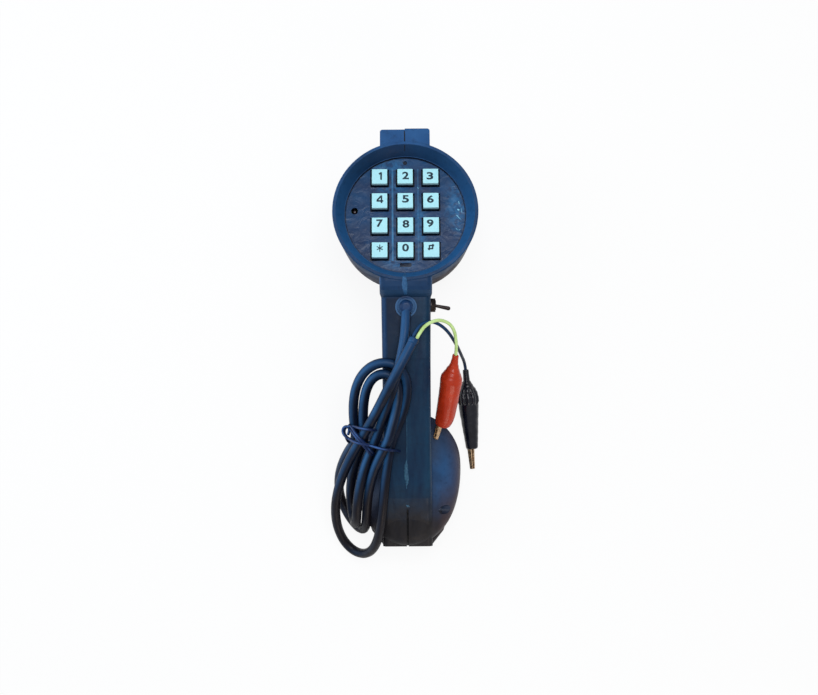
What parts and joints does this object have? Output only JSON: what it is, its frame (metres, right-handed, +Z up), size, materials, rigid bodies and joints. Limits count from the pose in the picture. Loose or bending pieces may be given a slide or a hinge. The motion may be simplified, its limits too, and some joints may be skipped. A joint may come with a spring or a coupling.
{
  "type": "line test telephone",
  "caption": "Line test telephone handset with a keypad sunk in its round head, a side toggle switch, screwed ear and mouth caps, and a hanked cord ending in insulated alligator clips.",
  "frame": {"origin": "on the table under the middle of the handset's bounding box, cord and clips left out", "axes": "+Y from the heel to the tab over the keypad, +X to the toggle's side, +Z up, keypad upwards"},
  "size_m": [0.0938, 0.2668, 0.0727],
  "materials": {
    "black_lead": "satin",
    "black_rubber": "glossy soft vinyl",
    "board": "satin",
    "bright_metal": "polished",
    "cap": "satin black",
    "capsule": "matt",
    "component": "matt",
    "cord": "satin jacket",
    "gasket": "matt",
    "green_lead": "satin",
    "grommet": "satin",
    "housing": "satin moulded plastic",
    "jaw": "plated",
    "key": "satin, printed",
    "lamp": "clear red",
    "mat": "matt",
    "plate": "satin",
    "red_rubber": "glossy soft vinyl",
    "steel": "zinc plated",
    "tie_wire": "coated wire"
  },
  "bodies": {
    "handset": {"black_boot": "black_rubber", "black_fixed_jaw": "jaw", "black_jaw_spring": "steel", "black_pivot_pin": "steel", "bridge_rectifier": "component", "cord_end": "cord", "cord_grommet": "grommet", "cord_hank": "cord", "cord_tail": "cord", "cord_tie": "tie_wire", "dialler_chip": "component", "ear_cap": "cap", "ear_gasket": "gasket", "keypad_board": "board", "keypad_mat": "mat", "keypad_plate": "plate", "keypad_screws": "steel", "lead_black": "black_lead", "lead_green": "green_lead", "left_shell": "housing", "line_capacitors": "component", "line_lamp": "lamp", "line_transformer": "component", "main_board": "board", "microphone_capsule": "capsule", "mouth_cap": "cap", "mouth_gasket": "gasket", "receiver_capsule": "capsule", "red_boot": "red_rubber", "red_fixed_jaw": "jaw", "red_jaw_spring": "steel", "red_pivot_pin": "steel", "right_shell": "housing", "shell_screws": "steel", "switch_body": "component", "switch_bushing": "bright_metal", "switch_nut": "bright_metal", "switch_terminals": "bright_metal", "switch_washer": "bright_metal"},
    "key_0": {"key_0": "key"},
    "key_1": {"key_1": "key"},
    "key_2": {"key_2": "key"},
    "key_3": {"key_3": "key"},
    "key_4": {"key_4": "key"},
    "key_5": {"key_5": "key"},
    "key_6": {"key_6": "key"},
    "key_7": {"key_7": "key"},
    "key_8": {"key_8": "key"},
    "key_9": {"key_9": "key"},
    "key_hash": {"key_hash": "key"},
    "key_star": {"key_star": "key"},
    "switch_lever": {"switch_lever": "bright_metal"},
    "red_jaw": {"red_moving_jaw": "jaw"},
    "black_jaw": {"black_moving_jaw": "jaw"}
  },
  "joints": [
    {"name": "key_0_press", "type": "slide", "parent": "handset", "child": "key_0", "axis": [0, -0.1994, -0.9799], "range_m": [0, 0.0015], "stiffness_N_per_m": 300, "springref_m": -0.0006},
    {"name": "key_1_press", "type": "slide", "parent": "handset", "child": "key_1", "axis": [0, -0.1994, -0.9799], "range_m": [0, 0.0015], "stiffness_N_per_m": 300, "springref_m": -0.0006},
    {"name": "key_2_press", "type": "slide", "parent": "handset", "child": "key_2", "axis": [0, -0.1994, -0.9799], "range_m": [0, 0.0015], "stiffness_N_per_m": 300, "springref_m": -0.0006},
    {"name": "key_3_press", "type": "slide", "parent": "handset", "child": "key_3", "axis": [0, -0.1994, -0.9799], "range_m": [0, 0.0015], "stiffness_N_per_m": 300, "springref_m": -0.0006},
    {"name": "key_4_press", "type": "slide", "parent": "handset", "child": "key_4", "axis": [0, -0.1994, -0.9799], "range_m": [0, 0.0015], "stiffness_N_per_m": 300, "springref_m": -0.0006},
    {"name": "key_5_press", "type": "slide", "parent": "handset", "child": "key_5", "axis": [0, -0.1994, -0.9799], "range_m": [0, 0.0015], "stiffness_N_per_m": 300, "springref_m": -0.0006},
    {"name": "key_6_press", "type": "slide", "parent": "handset", "child": "key_6", "axis": [0, -0.1994, -0.9799], "range_m": [0, 0.0015], "stiffness_N_per_m": 300, "springref_m": -0.0006},
    {"name": "key_7_press", "type": "slide", "parent": "handset", "child": "key_7", "axis": [0, -0.1994, -0.9799], "range_m": [0, 0.0015], "stiffness_N_per_m": 300, "springref_m": -0.0006},
    {"name": "key_8_press", "type": "slide", "parent": "handset", "child": "key_8", "axis": [0, -0.1994, -0.9799], "range_m": [0, 0.0015], "stiffness_N_per_m": 300, "springref_m": -0.0006},
    {"name": "key_9_press", "type": "slide", "parent": "handset", "child": "key_9", "axis": [0, -0.1994, -0.9799], "range_m": [0, 0.0015], "stiffness_N_per_m": 300, "springref_m": -0.0006},
    {"name": "key_hash_press", "type": "slide", "parent": "handset", "child": "key_hash", "axis": [0, -0.1994, -0.9799], "range_m": [0, 0.0015], "stiffness_N_per_m": 300, "springref_m": -0.0006},
    {"name": "key_star_press", "type": "slide", "parent": "handset", "child": "key_star", "axis": [0, -0.1994, -0.9799], "range_m": [0, 0.0015], "stiffness_N_per_m": 300, "springref_m": -0.0006},
    {"name": "switch_throw", "type": "hinge", "parent": "handset", "child": "switch_lever", "pos_m": [0.0164, 0.0212, 0.046], "axis": [0, 0, 1], "range_deg": [0, 24]},
    {"name": "red_jaw_open", "type": "hinge", "parent": "handset", "child": "red_jaw", "pos_m": [0.0235, -0.0405, 0.0322], "axis": [-0.8914, 0.0045, 0.4532], "range_deg": [0, 18], "stiffness_Nm_per_rad": 0.12, "springref_deg": -28.65, "deforming": ["red_boot", "red_jaw_spring"]},
    {"name": "black_jaw_open", "type": "hinge", "parent": "handset", "child": "black_jaw", "pos_m": [0.0402, -0.0595, 0.0054], "axis": [-0.7681, -0.0043, -0.6403], "range_deg": [0, 18], "stiffness_Nm_per_rad": 0.12, "springref_deg": -28.65, "deforming": ["black_boot", "black_jaw_spring"]}
  ]
}
